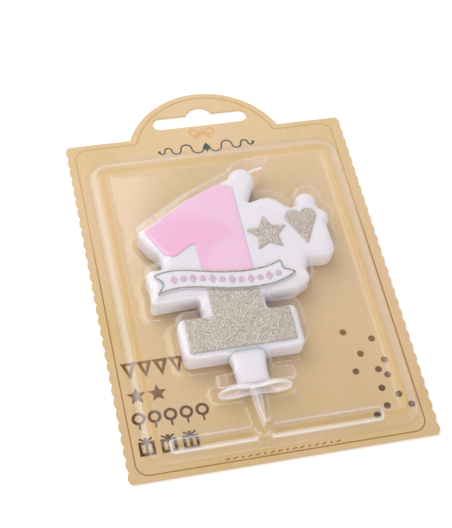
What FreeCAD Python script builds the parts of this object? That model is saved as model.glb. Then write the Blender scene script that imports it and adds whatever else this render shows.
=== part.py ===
import FreeCAD, Part
import os
from math import cos, sin, radians, pi, atan2, degrees, tan

# Number birthday candle in its blister pack, lying on the back of its card.
# Millimetres. +X right across the card, +Y towards the hang tab, +Z out of the card's face.
# Outlines are drawn from the middle of the card's bottom edge, and every piece is moved at
# the end so that the origin is the middle of the card's back face.

# ---- driving dimensions -------------------------------------------------------------------
# card
card_width = 92.8            # over the scallop crests
card_shoulder = 118.6        # bottom edge to the shoulders beside the tab
card_height = 135.0          # bottom edge to the top of the tab
card_thickness = 0.8
card_corner = 1.6
scallop_depth = 1.0
scallop_count = 30           # along each side
tab_width = 50.0
slot_length = 32.1           # euro hang slot
slot_height = 5.0
slot_drop = 13.4             # top of the tab to the bottom of the slot
slot_hump_width = 8.7
slot_hump_rise = 2.8

# print
ink = 0.04
print_shift = -0.5           # the print sits this far off the card's middle
border_side = 3.0            # card edge to the printed border line
border_end = 1.6
border_line = 0.35
border_corner = 4.0
foil_stroke = 0.9
foil_height = 5.6
foil_pitch = 8.15
foil_base = 7.7              # foot of the lowest row of motifs
foil_left = 1.3              # border line to the motifs
dot_diameter = 2.1

# blister
blister_wall = 0.35
seal_gap = 0.02              # blister flange above the ink
blister_width = 83.6         # over the sealing flange
blister_shift = 0.6          # the blister sits this far off the card's middle
blister_bottom = 3.9
blister_top = 111.2
flange_width = 1.7
ridge_width = 4.6
ridge_height = 1.6
ridge_corner = 5.0
ridge_foot = 5.6             # lower ends of the ridge, which is open at the bottom
rib_length = 63.7
rib_width = 4.4
rib_height = 1.5
rib_offset = 1.75            # rib's middle, left of the blister's middle
rib_middle = 9.1             # height of the rib's centre line up the card
cavity_side = 0.8            # candle to blister, sideways
cavity_top = 0.6             # candle to blister, above

# candle
candle_lift = 0.1            # candle's back above the card's face
wax_thickness = 8.0
face_thickness = 0.4         # pink wax face and glitter coat
ribbon_thickness = 0.8
cord_width = 0.55            # glitter cord round the ribbon
cord_rise = 0.2
mark_thickness = 0.15
neck_width = 9.6
neck_thickness = 7.0
neck_bottom = 24.0
neck_x = -5.6
base_bottom = 32.0
wick_diameter = 1.1

# pick
collar_length = 22.0
collar_inset = 0.1           # the collar stands this far inside the wax's two faces
collar_thickness = 2.8
tang_width = 5.0             # the blade cast into the wax neck
tang_thickness = 2.0
tang_depth = 7.0
spike_width = 3.2
spike_web = 1.0
spike_tip = 9.2              # height of the tip up the card
tip_width = 0.8

# ---- levels -------------------------------------------------------------------------------
card_face = card_thickness
seal_face = card_face + ink + seal_gap
wax_back = card_face + candle_lift
wax_front = wax_back + wax_thickness
face_front = wax_front + face_thickness
ribbon_front = wax_front + ribbon_thickness
wax_middle = wax_back + wax_thickness / 2
cavity_front = ribbon_front + cord_rise + cavity_top


# ---- helpers ------------------------------------------------------------------------------
def vec(x, y, z=0.0):
    return FreeCAD.Vector(x, y, z)


def rounded(corners):
    """Closed wire through corners (x, y, radius), each rounded by an arc of its radius."""
    count = len(corners)
    ends = []
    for i, (x, y, radius) in enumerate(corners):
        here = vec(x, y)
        before = vec(*corners[i - 1][:2]) - here
        after = vec(*corners[(i + 1) % count][:2]) - here
        if radius <= 0:
            ends.append((here, None, here))
            continue
        half = before.getAngle(after) / 2
        reach = radius / tan(half)
        room = 0.48 * min(before.Length, after.Length)
        if reach > room:
            reach = room
            radius = reach * tan(half)
        before.normalize()
        after.normalize()
        middle = before + after
        middle.normalize()
        tip = here + middle * (radius / sin(half) - radius)
        ends.append((here + before * reach, tip, here + after * reach))
    edges = []
    for i, (start, tip, end) in enumerate(ends):
        if tip is not None:
            edges.append(Part.Arc(start, tip, end).toShape())
        following = ends[(i + 1) % count][0]
        if end.distanceToPoint(following) > 1e-6:
            edges.append(Part.LineSegment(end, following).toShape())
    return Part.Wire(edges)


def prism(wire, low, high):
    """Solid between two levels with this outline."""
    face = Part.Face(wire)
    face.translate(vec(0, 0, low))
    return face.extrude(vec(0, 0, high - low))


def disc(x, y, radius, low, high):
    return Part.makeCylinder(radius, high - low, vec(x, y, low))


def rect(left, bottom, right, top, radius=0.0):
    return rounded([(left, bottom, radius), (right, bottom, radius),
                    (right, top, radius), (left, top, radius)])


def capsule(x0, y0, x1, y1, radius, low, high):
    """Round-ended bar from one point to another."""
    length = (vec(x1, y1) - vec(x0, y0)).Length
    bar = Part.makeBox(length, 2 * radius, high - low, vec(0, -radius, low))
    bar.rotate(vec(0, 0), vec(0, 0, 1), degrees(atan2(y1 - y0, x1 - x0)))
    bar.translate(vec(x0, y0))
    return join([bar, disc(x0, y0, radius, low, high), disc(x1, y1, radius, low, high)])


def join(shapes):
    """One fused shape, without the seams between coplanar faces."""
    if len(shapes) == 1:
        return shapes[0]
    return shapes[0].multiFuse(shapes[1:]).removeSplitter()


def mirror_x(shape, x):
    return shape.mirror(vec(x, 0), vec(1, 0, 0))


def save(name, shape):
    """Write one node, moved to the frame whose origin is the middle of the card's back."""
    placed = shape.copy()
    placed.translate(vec(0, -card_height / 2))
    solids = placed.Solids
    bad = [s for s in solids if not s.isValid()]
    box = placed.BoundBox
    print(f"{name:22s} solids {len(solids):2d} volume {placed.Volume:9.2f} "
          f"z {box.ZMin:6.2f} {box.ZMax:6.2f} bad {len(bad)}")
    if len(solids) == 1:
        placed = solids[0]
    else:
        placed = Part.makeCompound(solids)
    placed.exportStep(f"parts/{name}.step")


# ---- card ---------------------------------------------------------------------------------
half_card = card_width / 2
trough = half_card - scallop_depth
tab_half = tab_width / 2
border_left = -half_card + border_side + print_shift
border_right = half_card - border_side + print_shift
border_top = card_shoulder - border_end


def scalloped_side(sign):
    """Scallops up one long side, from the bottom edge to the shoulder."""
    pitch = card_shoulder / scallop_count
    arcs = []
    for i in range(scallop_count):
        foot = i * pitch
        start = vec(sign * trough, foot)
        crest = vec(sign * half_card, foot + pitch / 2)
        end = vec(sign * trough, foot + pitch)
        arcs.append(Part.Arc(start, crest, end).toShape())
    return arcs


def card_outline():
    left = scalloped_side(-1)
    right = scalloped_side(1)
    bottom = Part.LineSegment(vec(-trough, 0), vec(trough, 0)).toShape()
    shoulders = [Part.LineSegment(vec(s * trough, card_shoulder),
                                  vec(s * tab_half, card_shoulder)).toShape() for s in (-1, 1)]
    tab = Part.Arc(vec(-tab_half, card_shoulder), vec(0, card_height),
                   vec(tab_half, card_shoulder)).toShape()
    return Part.Wire(Part.__sortEdges__([bottom, *right, shoulders[1], tab,
                                         shoulders[0], *left]))


def hang_slot(low, high):
    bottom = card_height - slot_drop
    radius = slot_height / 2
    reach = slot_length / 2 - radius
    bar = capsule(-reach, bottom + radius, reach, bottom + radius, radius, low, high)
    hump_half = slot_hump_width / 2
    top = bottom + slot_height
    hump_wire = Part.Wire([
        Part.Arc(vec(-hump_half, top), vec(0, top + slot_hump_rise),
                 vec(hump_half, top)).toShape(),
        Part.LineSegment(vec(hump_half, top), vec(hump_half, top - radius)).toShape(),
        Part.LineSegment(vec(hump_half, top - radius), vec(-hump_half, top - radius)).toShape(),
        Part.LineSegment(vec(-hump_half, top - radius), vec(-hump_half, top)).toShape()])
    slot = join([bar, prism(hump_wire, low, high)])
    slot.translate(vec(print_shift, 0))
    return slot


def backing_card():
    body = prism(card_outline(), 0, card_thickness)
    return body.cut(hang_slot(-1, card_thickness + 1))


def border_wire(inset):
    """Border line's outline: round corners, and an arch that follows the tab."""
    shoulder = border_top - inset
    arch_half = tab_half - border_end - inset
    arch_top = card_height - border_end - inset
    left, right = border_left + inset, border_right - inset
    bottom = border_end + inset
    radius = border_corner - inset
    lower = [vec(left, bottom + radius), vec(left + radius, bottom),
             vec(right - radius, bottom), vec(right, bottom + radius)]
    upper = [vec(right, shoulder - radius), vec(right - radius, shoulder),
             vec(arch_half, shoulder), vec(-arch_half, shoulder),
             vec(left + radius, shoulder), vec(left, shoulder - radius)]
    lean = radius * (1 - cos(pi / 4))
    corners = [vec(left + lean, bottom + lean), vec(right - lean, bottom + lean),
               vec(right - lean, shoulder - lean), vec(left + lean, shoulder - lean)]
    return Part.Wire([
        Part.Arc(lower[0], corners[0], lower[1]).toShape(),
        Part.LineSegment(lower[1], lower[2]).toShape(),
        Part.Arc(lower[2], corners[1], lower[3]).toShape(),
        Part.LineSegment(lower[3], upper[0]).toShape(),
        Part.Arc(upper[0], corners[2], upper[1]).toShape(),
        Part.LineSegment(upper[1], upper[2]).toShape(),
        Part.Arc(upper[2], vec(0, arch_top), upper[3]).toShape(),
        Part.LineSegment(upper[3], upper[4]).toShape(),
        Part.Arc(upper[4], corners[3], upper[5]).toShape(),
        Part.LineSegment(upper[5], lower[0]).toShape()])


ink_low, ink_high = card_face, card_face + ink


def card_border_line():
    outer = prism(border_wire(0), ink_low, ink_high)
    return outer.cut(prism(border_wire(border_line), ink_low - 1, ink_high + 1))


def ring_shape(wire, inner_wire, low, high):
    return prism(wire, low, high).cut(prism(inner_wire, low - 1, high + 1))


def star_wire(x, y, outer, inner_share=0.45):
    corners = []
    for i in range(10):
        radius = outer if i % 2 == 0 else outer * inner_share
        angle = radians(90 + 36 * i)
        corners.append((x + radius * cos(angle), y + radius * sin(angle), 0))
    return rounded(corners)


def pennant(x, y, size, low, high):
    """Outlined bunting flag hanging from its top edge."""
    half = size * 0.42
    stroke = foil_stroke
    outer = rounded([(x - half, y + size, 0), (x + half, y + size, 0), (x, y, 0)])
    inner = rounded([(x - half + 1.75 * stroke, y + size - stroke, 0),
                     (x + half - 1.75 * stroke, y + size - stroke, 0),
                     (x, y + 2.4 * stroke, 0)])
    return ring_shape(outer, inner, low, high)


def balloon(x, y, size, low, high):
    """Outlined balloon with a knot and a short string."""
    radius = size * 0.36
    head = disc(x, y + size - radius, radius, low, high)
    hole = disc(x, y + size - radius, radius - foil_stroke, low - 1, high + 1)
    knot = capsule(x, y + foil_stroke / 3, x, y + size - 2 * radius, foil_stroke / 3, low, high)
    return join([head, knot]).cut(hole)


def gift(x, y, size, low, high):
    """Square parcel with a cross ribbon and a knot on top."""
    half = size * 0.42
    top = y + size * 0.78
    outer = prism(rect(x - half, y, x + half, top), low, high)
    hole = prism(rect(x - half + foil_stroke, y + foil_stroke,
                      x + half - foil_stroke, top - foil_stroke), low - 1, high + 1)
    bar = prism(rect(x - foil_stroke / 2, y, x + foil_stroke / 2, y + size), low, high)
    bows = [capsule(x, top, x + s * half * 0.7, y + size - foil_stroke / 3,
                    foil_stroke / 3, low, high) for s in (-1, 1)]
    return join([outer.cut(hole), bar, *bows])


def star(x, y, size, low, high):
    return prism(star_wire(x, y + size * 0.48, size * 0.52), low, high)


def card_motif_block():
    """Four rows of party motifs at the card's lower left, the longest row third."""
    first = border_left + foil_left
    rows = [(gift, 3, 6.4), (balloon, 5, 4.7), (star, 2, 6.2), (pennant, 4, 4.8)]
    solids = []
    for row, (motif, count, spacing) in enumerate(rows):
        foot = foil_base + row * foil_pitch
        for i in range(count):
            x = first + spacing / 2 + i * spacing
            solids.append(motif(x, foot, foil_height, ink_low, ink_high))
    return Part.makeCompound([s for shape in solids for s in shape.Solids])


def card_foil_dots():
    """Confetti dots drifting down to the card's lower right corner."""
    places = [(26.2, 37.4), (34.4, 33.9), (29.6, 29.4), (36.3, 26.3), (26.6, 23.8),
              (33.6, 23.4), (35.9, 21.2), (32.9, 17.2), (37.4, 14.4), (32.9, 11.3),
              (40.3, 10.6), (29.1, 8.8)]
    return Part.makeCompound([disc(x, y, dot_diameter / 2, ink_low, ink_high)
                              for x, y in places])


slot_foot = card_height - slot_drop
bow_middle = vec(print_shift - 0.4, slot_foot - 2.9)


def card_bow_ornament():
    """Ribbon bow: two open loops, a knot and two tails."""
    x, y = bow_middle.x, bow_middle.y
    outer = rounded([(x, y - 0.2, 0.3), (x + 3.4, y - 1.6, 1.0), (x + 4.6, y + 0.6, 1.0),
                     (x + 3.0, y + 2.4, 1.0)])
    inner = rounded([(x + 1.2, y + 0.0, 0.2), (x + 3.2, y - 0.9, 0.6), (x + 3.9, y + 0.6, 0.6),
                     (x + 2.8, y + 1.6, 0.6)])
    loop = ring_shape(outer, inner, ink_low, ink_high)
    tail = capsule(x + 0.3, y - 0.2, x + 2.4, y - 2.2, 0.35, ink_low, ink_high)
    knot = disc(x, y, 0.85, ink_low, ink_high)
    return join([loop, tail, knot, mirror_x(loop, x), mirror_x(tail, x)])


def card_title_flourish():
    """Scroll in place of a title: half rings turned down and up by turns, the smaller the
    further out, on each side of a diamond."""
    stroke = 0.5
    radii = (2.0, 1.8, 1.5, 1.2, 0.9)
    x, y = print_shift, bow_middle.y - 6.1
    diamond = prism(rounded([(x - 1.3, y, 0), (x, y - 1.9, 0), (x + 1.3, y, 0),
                             (x, y + 1.9, 0)]), ink_low, ink_high)
    edge = x + 1.0
    arcs = []
    for i, radius in enumerate(radii):
        outer = radius + stroke / 2
        middle = edge + radius
        ring = disc(middle, y, outer, ink_low, ink_high)
        ring = ring.cut(disc(middle, y, outer - stroke, ink_low - 1, ink_high + 1))
        side = -1 if i % 2 == 0 else 0
        half = Part.makeBox(2 * outer, outer, ink, vec(middle - outer, y + side * outer, ink_low))
        arcs.append(ring.common(half))
        edge = middle + radius
    arcs.append(disc(edge, y, stroke, ink_low, ink_high))
    return join([diamond, *arcs, *[mirror_x(arc, x) for arc in arcs]])


def card_foot_flourish():
    """Row of small dashes and dots in place of small print."""
    y, spacing, count = 2.75, 2.2, 16
    first = print_shift - 0.4 - spacing * (count - 1) / 2
    marks = []
    for i in range(count):
        x = first + i * spacing
        if i % 3 == 2:
            marks.append(disc(x, y, 0.35, ink_low, ink_high))
        else:
            marks.append(capsule(x - 0.55, y - 0.15, x + 0.55, y + 0.15, 0.2, ink_low, ink_high))
    return Part.makeCompound([s for shape in marks for s in shape.Solids])


# ---- candle -------------------------------------------------------------------------------
neck_left, neck_right = neck_x - neck_width / 2, neck_x + neck_width / 2
stem_left, stem_right = -15.9, 3.8
base_left, base_right, base_top = -24.3, 12.4, 46.0
base_corner = 2.2

# one round the numeral, the suffix, the banner and the foot: x, y, corner radius
wax_corners = [
    (base_left, base_bottom, base_corner), (base_right, base_bottom, base_corner),
    (base_right, base_top, base_corner), (stem_right, base_top, 0.8),
    (stem_right, 50.8, 0.8), (14.0, 51.0, 5.0), (19.6, 54.2, 2.5), (18.9, 57.8, 0.4),
    (20.6, 61.4, 0.4), (29.9, 60.9, 8.0), (29.4, 72.3, 0.4), (28.2, 80.0, 0.3),
    (22.4, 81.6, 0.3), (19.1, 80.6, 0.6), (13.5, 86.4, 6.0), (6.2, 84.3, 0.3),
    (9.9, 91.6, 0.3), (3.0, 94.9, 0.3), (-12.5, 88.7, 20.0), (-30.8, 77.8, 1.6),
    (-27.9, 72.4, 6.0), (-24.4, 68.4, 2.0), (-25.0, 64.3, 0.5), (-31.0, 64.0, 3.2),
    (-29.5, 57.6, 6.0), (-31.0, 51.7, 1.3), (stem_left, 52.1, 0.8), (stem_left, base_top, 0.8),
    (base_left, base_top, base_corner)]
top_lobe = (6.2, 93.5, 4.3)
wax_lobes = [top_lobe, (24.7, 82.0, 3.5), (27.4, 75.8, 3.3)]

# ribbon: points along its two wavy edges, the two inner corners of its swallow tails, and how
# far each end moves inwards for every millimetre of inset
ribbon_top = [(-28.8, 60.9), (-23.6, 62.0), (-11.4, 60.1), (-5.0, 59.05), (2.5, 58.8), (11.3, 61.0)]
ribbon_bottom = [(15.1, 56.0), (6.8, 52.7), (-0.2, 52.4), (-8.2, 53.3), (-18.9, 55.3), (-28.6, 54.0)]
ribbon_left_notch = (-25.9, 57.8)
ribbon_right_notch = (11.1, 57.9)
top_ends = ((2.2, -0.8), (-1.0, -1.3))
bottom_ends = ((-2.6, 0.1), (1.7, 1.2))
left_notch_in = (1.3, 0.0)
right_notch_in = (-1.0, -0.6)


def wax_prism(offset, low, high):
    """The candle's outline, grown by an offset, between two levels."""
    wire = rounded(wax_corners)
    if offset:
        wire = wire.makeOffset2D(offset)
    lobes = [disc(x, y, r + offset, low, high) for x, y, r in wax_lobes]
    return join([prism(wire, low, high), *lobes])


def neck_prism(offset, low, high):
    return prism(rect(neck_left - offset, neck_bottom - offset,
                      neck_right + offset, base_bottom + 1), low, high)


def candle_body():
    """White wax casting: numeral, suffix, banner and foot in one, with a thinner neck."""
    body = wax_prism(0, wax_back, wax_front)
    half_neck = neck_thickness / 2
    body = join([body, neck_prism(0, wax_middle - half_neck, wax_middle + half_neck)])
    return body.cut(pick_tang())


def ribbon_wire(inset=0.0):
    """Ribbon outline with two swallow tails, drawn in from its edge by an inset."""
    def moved(point, step):
        return point[0] + step[0] * inset, point[1] + step[1] * inset

    def curve(points, ends, side):
        inner = [moved(point, (0, side)) for point in points[1:-1]]
        spline = Part.BSplineCurve()
        spline.interpolate([vec(*p) for p in (moved(points[0], ends[0]), *inner,
                                              moved(points[-1], ends[1]))])
        return spline.toShape()

    def line(a, b):
        return Part.LineSegment(vec(*a), vec(*b)).toShape()

    left = moved(ribbon_left_notch, left_notch_in)
    right = moved(ribbon_right_notch, right_notch_in)
    return Part.Wire([
        curve(ribbon_top, top_ends, -1), line(moved(ribbon_top[-1], top_ends[1]), right),
        line(right, moved(ribbon_bottom[0], bottom_ends[0])),
        curve(ribbon_bottom, bottom_ends, 1),
        line(moved(ribbon_bottom[-1], bottom_ends[1]), left),
        line(left, moved(ribbon_top[0], top_ends[0]))])


def banner_ribbon():
    return prism(ribbon_wire(), wax_front, ribbon_front)


def banner_outline():
    """Thin raised glitter line all round the ribbon's edge."""
    return ring_shape(ribbon_wire(), ribbon_wire(cord_width),
                      ribbon_front, ribbon_front + cord_rise)


def ribbon_middle(x):
    """Height of the ribbon's centre line at x, which leans as its edges do."""
    return 57.05 + 1.6 * cos(pi * (x + 21.5) / 23.3)


def banner_marks():
    """Twelve small marks along the ribbon, a diamond and a round dot by turns."""
    count, first, last, size = 12, -22.6, 9.2, 1.2
    low, high = ribbon_front, ribbon_front + mark_thickness
    marks = []
    for i in range(count):
        x = first + (last - first) * i / (count - 1)
        y = ribbon_middle(x)
        if i % 2 == 0:
            tall = size * 1.35
            diamond = rounded([(x, y - tall, 0), (x + size, y, 0),
                               (x, y + tall, 0), (x - size, y, 0)])
            marks.append(prism(diamond, low, high))
        else:
            marks.append(disc(x, y, size * 0.8, low, high))
    return Part.makeCompound(marks)


numeral_left, numeral_right = -13.4, 2.2


def numeral_face():
    """Pink face of the figure one, down to the ribbon."""
    wire = rounded([
        (-28.5, 77.7, 1.0), (-12.0, 87.5, 25.0), (-2.6, 91.7, 2.5), (numeral_right, 90.2, 1.5),
        (numeral_right, 57.0, 0), (numeral_left, 57.0, 0), (numeral_left, 71.4, 0.6),
        (-20.8, 67.0, 1.4), (-23.6, 68.4, 1.2)])
    return prism(wire, wax_front, face_front).cut(banner_ribbon())


def glitter_foot():
    """Glitter coat on the stem and foot of the figure one, up to the ribbon."""
    foot_left, foot_right, foot_bottom, foot_top = -22.5, 9.9, 33.6, 44.7
    wire = rounded([
        (foot_left, foot_bottom, 0.4), (foot_right, foot_bottom, 0.4),
        (foot_right, foot_top, 0.4), (numeral_right, foot_top, 0.4),
        (numeral_right, 57.0, 0), (numeral_left, 57.0, 0), (numeral_left, foot_top, 0.4),
        (foot_left, foot_top, 0.4)])
    return prism(wire, wax_front, face_front).cut(banner_ribbon())


def suffix_star():
    """Raised glitter star beside the figure."""
    return prism(star_wire(9.4, 71.2, 6.6, 0.5), wax_front, face_front)


def suffix_heart():
    """Raised glitter heart: two round shoulders over a point."""
    x, top, radius, point = 21.2, 75.9, 2.6, 65.6
    shoulders = [disc(x + s * radius * 0.92, top, radius, wax_front, face_front)
                 for s in (-1, 1)]
    side = radius * 1.78
    wedge = prism(rounded([(x - side, top - 1.0, 0), (x, point, 0), (x + side, top - 1.0, 0),
                           (x, top + 1.2, 0)]), wax_front, face_front)
    return join([*shoulders, wedge])


def wick():
    """Cotton wick out of the top lobe, bent over to the side under the blister."""
    lobe_x, lobe_y, lobe_radius = top_lobe
    root = vec(lobe_x + lobe_radius * 0.55, lobe_y + lobe_radius * 0.55, wax_middle)
    bend = root + vec(2.2, 2.5)
    tip = bend + vec(3.6, 0.1)
    reach = 1.2
    into = (bend - root).normalize()
    out = (tip - bend).normalize()
    start, end = bend - into * reach, bend + out * reach
    half = (root - bend).getAngle(tip - bend) / 2
    radius = reach * tan(half)
    inward = (out - into).normalize()
    middle = bend + inward * (radius / sin(half) - radius)
    path = Part.Wire([Part.LineSegment(root, start).toShape(),
                      Part.Arc(start, middle, end).toShape(),
                      Part.LineSegment(end, tip).toShape()])
    section = Part.Wire(Part.Circle(root, into, wick_diameter / 2).toShape())
    tube = path.makePipeShell([section], True, False)
    return tube.cut(wax_prism(0, wax_back, wax_front))


# ---- pick ---------------------------------------------------------------------------------
collar_top = neck_bottom
collar_bottom = collar_top - collar_thickness
collar_depth = wax_thickness - 2 * collar_inset


def pick_tang():
    """Flat blade above the collar, which the wax neck is cast round."""
    return Part.makeBox(tang_width, tang_depth, tang_thickness,
                        vec(neck_x - tang_width / 2, collar_top,
                            wax_middle - tang_thickness / 2))


def oval_collar():
    """Oval drip collar standing across the candle's axis, under the neck."""
    oval = Part.Ellipse(vec(0, 0), collar_length / 2, collar_depth / 2).toShape()
    plate = Part.Face(Part.Wire(oval)).extrude(vec(0, 0, collar_thickness))
    plate.rotate(vec(0, 0), vec(1, 0, 0), -90)
    plate.translate(vec(neck_x, collar_bottom, wax_middle))
    return plate


def candle_pick():
    """Clear pick: a tang inside the wax neck, an oval collar and a four-ribbed spike."""
    half_web = spike_web / 2
    overlap = 0.2
    blades = []
    for turn in (0, 90):
        wire = rounded([(-spike_width / 2, collar_bottom + overlap, 0),
                        (-tip_width / 2, spike_tip, 0.3), (tip_width / 2, spike_tip, 0.3),
                        (spike_width / 2, collar_bottom + overlap, 0)])
        blade = prism(wire, -half_web, half_web)
        blade.rotate(vec(0, 0), vec(0, 1, 0), turn)
        blade.translate(vec(neck_x, 0, wax_middle))
        blades.append(blade)
    return join([oval_collar(), pick_tang(), *blades])


# ---- blister ------------------------------------------------------------------------------
flange_left, flange_right = (blister_shift + s * blister_width / 2 for s in (-1, 1))


def flange_rect(inset, low, high):
    """Rounded rectangle inside the flange's edge by an inset."""
    radius = max(ridge_corner + flange_width - inset, 0.5)
    return prism(rect(flange_left + inset, blister_bottom + inset,
                      flange_right - inset, blister_top - inset, radius), low, high)


def pocket_prism(grow, low, high):
    """The pocket round the candle, its wick, neck, collar and spike, grown by an amount."""
    side = cavity_side + grow
    collar_half = collar_length / 2 + side
    collar = prism(rect(neck_x - collar_half, collar_bottom - side,
                        neck_x + collar_half, collar_top + side, 1.0), low, high)
    shank, point = spike_width / 2 + side, tip_width / 2 + side
    spike = prism(rounded([(neck_x - shank, collar_bottom, 0),
                           (neck_x - point, spike_tip - side, point / 2),
                           (neck_x + point, spike_tip - side, point / 2),
                           (neck_x + shank, collar_bottom, 0)]), low, high)
    lobe_x, lobe_y, lobe_radius = top_lobe
    wick_pocket = capsule(lobe_x, lobe_y + lobe_radius * 0.9, lobe_x + 8.4, lobe_y + 5.0,
                          wick_diameter / 2 + side, low, high)
    return join([wax_prism(side, low, high), neck_prism(side, low, high), collar, spike,
                 wick_pocket])


def sheet_forms(grow, ceiling):
    """The low stiffening forms grown sideways and up: a ridge along the sides and over the
    top, and a rib across the bottom."""
    ridge_high = seal_face + ridge_height + ceiling
    ridge = flange_rect(flange_width - grow, seal_face, ridge_high)
    ridge = ridge.cut(flange_rect(flange_width + ridge_width + grow,
                                  seal_face - 1, ridge_high + 1))
    ridge = ridge.cut(prism(rect(flange_left, 0, flange_right, ridge_foot - grow),
                            seal_face - 1, ridge_high + 1))
    reach = (rib_length - rib_width) / 2
    rib_x = blister_shift - rib_offset
    rib = capsule(rib_x - reach, rib_middle, rib_x + reach, rib_middle,
                  rib_width / 2 + grow, seal_face, seal_face + rib_height + ceiling)
    return join([ridge, rib])


def blister_sheet():
    """Flat of the blister with its sealing flange, ridge and rib, open where the pocket is."""
    flange = flange_rect(0, seal_face, seal_face + blister_wall)
    sheet = join([flange, sheet_forms(blister_wall, blister_wall)]).cut(sheet_forms(0, 0))
    return sheet.cut(pocket_prism(blister_wall, seal_face - 1, cavity_front + 1))


def blister_pocket_wall():
    """Standing wall of the pocket, which follows the candle's outline."""
    outside = pocket_prism(blister_wall, seal_face, cavity_front)
    return outside.cut(pocket_prism(0, seal_face - 1, cavity_front + 1))


def blister_pocket_roof():
    """Flat front of the pocket."""
    return pocket_prism(blister_wall, cavity_front, cavity_front + blister_wall)


# ---- nodes --------------------------------------------------------------------------------
os.makedirs("parts", exist_ok=True)
for piece in (backing_card, card_border_line, card_motif_block, card_foil_dots,
              card_bow_ornament, card_title_flourish, card_foot_flourish, blister_sheet,
              blister_pocket_wall, blister_pocket_roof,
              candle_body, wick, numeral_face, glitter_foot, suffix_star, suffix_heart,
              banner_ribbon, banner_outline, banner_marks, candle_pick):
    save(piece.__name__, piece())
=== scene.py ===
# %% [markdown]
# # A number candle in its blister pack
# The real thing is a flat wax candle, shaped as a figure one with a ribbon banner, sealed on
# a kraft card under a clear formed film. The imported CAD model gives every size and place. The
# cells below rebuild its visible surfaces with softer edges and finer relief, and give each
# one a finish worked out from nodes.

# %% Load the frame
import bpy
import numpy as np
from mathutils import Matrix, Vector
from mathutils.geometry import delaunay_2d_cdt


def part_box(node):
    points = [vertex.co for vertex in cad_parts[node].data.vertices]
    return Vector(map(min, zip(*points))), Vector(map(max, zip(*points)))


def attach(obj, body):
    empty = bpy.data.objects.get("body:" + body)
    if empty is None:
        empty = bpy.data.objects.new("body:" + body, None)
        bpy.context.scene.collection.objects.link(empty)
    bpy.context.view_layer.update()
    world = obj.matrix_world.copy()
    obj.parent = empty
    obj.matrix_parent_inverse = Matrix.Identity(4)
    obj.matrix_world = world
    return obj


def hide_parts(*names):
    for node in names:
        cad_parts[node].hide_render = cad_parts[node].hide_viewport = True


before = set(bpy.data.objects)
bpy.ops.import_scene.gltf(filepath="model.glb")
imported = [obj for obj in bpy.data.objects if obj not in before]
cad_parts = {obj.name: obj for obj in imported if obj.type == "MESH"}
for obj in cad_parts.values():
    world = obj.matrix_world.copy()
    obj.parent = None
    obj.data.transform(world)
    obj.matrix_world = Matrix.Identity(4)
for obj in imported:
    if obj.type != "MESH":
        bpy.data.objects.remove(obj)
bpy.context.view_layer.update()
MM = 0.001

# %% [markdown]
# ## The camera
# The pack lies on its back and is seen from its lower left, turned a little in the view. The
# camera's right, up and back directions are the columns of its rotation, so the turn of the
# view is part of it. A long lens keeps the card's sides nearly parallel.

# %% Place the camera
CAMERA_PLACE = np.array([-82.1, -205.2, 342.5]) * MM
CAMERA_RIGHT = (0.97238, -0.21331, 0.09475)
CAMERA_UP = (0.13173, 0.83674, 0.53150)
CAMERA_BACK = (-0.19264, -0.50434, 0.84173)
LENS = 88.84
SENSOR_WIDTH = 36.0


def add_camera():
    """Camera whose rotation holds its right, up and back directions as columns."""
    camera = bpy.data.objects.new("pack_camera", bpy.data.cameras.new("pack_camera"))
    turn = Matrix((CAMERA_RIGHT, CAMERA_UP, CAMERA_BACK)).transposed().to_4x4()
    camera.matrix_world = Matrix.Translation(CAMERA_PLACE) @ turn
    camera.data.lens = LENS
    camera.data.sensor_width = SENSOR_WIDTH
    bpy.context.collection.objects.link(camera)
    bpy.context.scene.camera = camera


add_camera()
print("camera at", np.round(CAMERA_PLACE / MM, 1), "mm, lens", LENS, "mm")

# %% [markdown]
# ## Outlines taken from the frame
# Each CAD node already holds the true outline of its piece. Its flat front is a set of
# triangles, and an edge that belongs to only one of them lies on the outline. Chained end to
# end, those edges give a closed line that runs counter-clockwise round the piece, and
# clockwise round a hole. Evenly spaced points make such a line easy to smooth and to sweep.

# %% Outlines of a node
def front_outlines(node):
    """Closed lines (x, y) round a CAD node's flat front, the longest first, and its level."""
    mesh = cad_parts[node].data
    mesh.calc_loop_triangles()
    points = np.empty(3 * len(mesh.vertices))
    mesh.vertices.foreach_get("co", points)
    corners = np.empty(3 * len(mesh.loop_triangles), dtype=np.int32)
    mesh.loop_triangles.foreach_get("vertices", corners)
    points, index = np.unique(np.round(points.reshape(-1, 3), 7), axis=0, return_inverse=True)
    triangles = index.ravel()[corners].reshape(-1, 3)
    level = points[:, 2].max()
    front = triangles[(points[triangles][:, :, 2] > level - 1e-6).all(axis=1)]
    edges = np.concatenate([front[:, [0, 1]], front[:, [1, 2]], front[:, [2, 0]]])
    forward = edges[:, 0] * len(points) + edges[:, 1]
    backward = edges[:, 1] * len(points) + edges[:, 0]
    lone = edges[~np.isin(forward, backward)]
    following = dict(zip(lone[:, 0].tolist(), lone[:, 1].tolist()))
    loops = []
    while following:
        chain = [next(iter(following))]
        while chain[-1] in following:
            chain.append(following.pop(chain[-1]))
        loops.append(points[chain[:-1], :2])
    loops.sort(key=lambda line: -line_length(line))
    return loops, level


def line_length(line):
    """Length round a closed line."""
    return np.linalg.norm(line - np.roll(line, -1, axis=0), axis=1).sum()


wax_loops, wax_front = front_outlines("candle_body")
print("wax outline", round(line_length(wax_loops[0]) / MM, 1), "mm round, front at",
      round(wax_front / MM, 2), "mm")


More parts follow.
